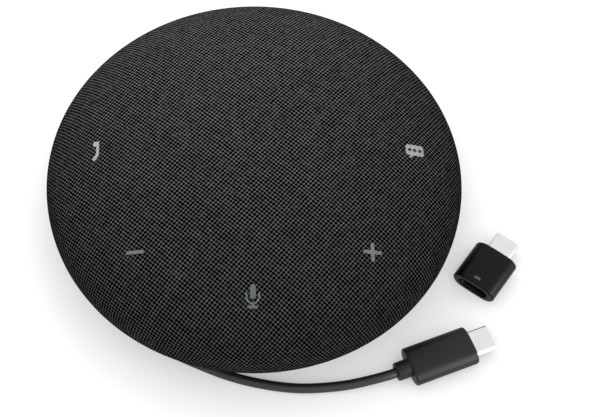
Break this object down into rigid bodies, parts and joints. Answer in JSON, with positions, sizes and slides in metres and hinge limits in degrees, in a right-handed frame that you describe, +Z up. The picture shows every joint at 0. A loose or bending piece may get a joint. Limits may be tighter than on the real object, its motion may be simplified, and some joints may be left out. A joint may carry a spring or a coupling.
{
  "type": "conference speakerphone",
  "caption": "Round desk speakerphone: cloth-covered dome with press keys under the cloth, loudspeaker inside, cable wound on a spool under the base, loose plug adapter.",
  "frame": {"origin": "centre of the pad's underside, on the surface that the puck stands on", "axes": "+Z up, -Y the front with the microphone key, +X to the right as seen from the front"},
  "size_m": [0.1467, 0.1293, 0.0358],
  "materials": {
    "cloth": "plain weave, matt dark grey",
    "black_abs": "satin black",
    "grey_abs": "matt dark grey",
    "black_rubber": "matt black",
    "jacket": "satin black",
    "steel": "bright plated",
    "ferrite": "dull dark grey",
    "paper": "matt black pulp",
    "copper": "enamelled wire",
    "solder_mask": "satin green",
    "chip_resin": "matt black",
    "ivory_nylon": "satin ivory"
  },
  "bodies": {
    "puck": {"audio_processor": "chip_resin", "base_pad": "black_rubber", "base_plate": "black_abs", "base_screw_1": "steel", "base_screw_2": "steel", "base_screw_3": "steel", "base_screw_4": "steel", "cable_grommet": "black_rubber", "cable_header": "ivory_nylon", "cable_hub": "black_abs", "cable_lead": "jacket", "cable_winding": "jacket", "driver_basket": "steel", "driver_gasket": "black_rubber", "driver_magnet": "ferrite", "driver_spider": "paper", "driver_surround": "black_rubber", "driver_top_plate": "steel", "driver_yoke": "steel", "fabric_cover": "cloth", "grille_dome": "black_abs", "inner_lead": "jacket", "key_call_switch": "chip_resin", "key_meeting_switch": "chip_resin", "key_mute_switch": "chip_resin", "key_volume_down_switch": "chip_resin", "key_volume_up_switch": "chip_resin", "lower_housing": "black_abs", "main_board": "solder_mask", "mic_boot_left": "black_rubber", "mic_boot_right": "black_rubber", "mic_module_left": "steel", "mic_module_right": "steel", "plug_insert": "chip_resin", "plug_overmould": "black_abs", "plug_shell": "steel", "shell_screw_1": "steel", "shell_screw_2": "steel", "shell_screw_3": "steel", "shell_screw_4": "steel", "speaker_chamber": "black_abs"},
    "key_call_body": {"key_call": "grey_abs", "key_call_plunger": "ivory_nylon"},
    "key_volume_down_body": {"key_volume_down": "grey_abs", "key_volume_down_plunger": "ivory_nylon"},
    "key_mute_body": {"key_mute": "grey_abs", "key_mute_plunger": "ivory_nylon"},
    "key_volume_up_body": {"key_volume_up": "grey_abs", "key_volume_up_plunger": "ivory_nylon"},
    "key_meeting_body": {"key_meeting": "grey_abs", "key_meeting_plunger": "ivory_nylon"},
    "driver_cone_body": {"driver_cone": "paper", "dust_cap": "paper", "voice_coil": "copper"},
    "adapter": {"adapter_body": "black_abs", "adapter_socket": "steel", "adapter_tongue": "chip_resin", "adapter_plug_shell": "steel", "adapter_plug_insert": "chip_resin"}
  },
  "joints": [
    {"name": "key_call_press", "type": "slide", "parent": "puck", "child": "key_call_body", "axis": [0, 0, -1], "range_m": [0, 0.0007], "stiffness_N_per_m": 1500},
    {"name": "key_volume_down_press", "type": "slide", "parent": "puck", "child": "key_volume_down_body", "axis": [0, 0, -1], "range_m": [0, 0.0007], "stiffness_N_per_m": 1500},
    {"name": "key_mute_press", "type": "slide", "parent": "puck", "child": "key_mute_body", "axis": [0, 0, -1], "range_m": [0, 0.0007], "stiffness_N_per_m": 1500},
    {"name": "key_volume_up_press", "type": "slide", "parent": "puck", "child": "key_volume_up_body", "axis": [0, 0, -1], "range_m": [0, 0.0007], "stiffness_N_per_m": 1500},
    {"name": "key_meeting_press", "type": "slide", "parent": "puck", "child": "key_meeting_body", "axis": [0, 0, -1], "range_m": [0, 0.0007], "stiffness_N_per_m": 1500},
    {"name": "driver_cone_stroke", "type": "slide", "parent": "puck", "child": "driver_cone_body", "axis": [0, 0, 1], "range_m": [-0.0012, 0.0012], "stiffness_N_per_m": 1200, "deforming": ["driver_surround", "driver_spider"]},
    {"name": "adapter_lift", "type": "slide", "parent": "puck", "child": "adapter", "axis": [0, 0, 1], "range_m": [0, 0.03]}
  ]
}
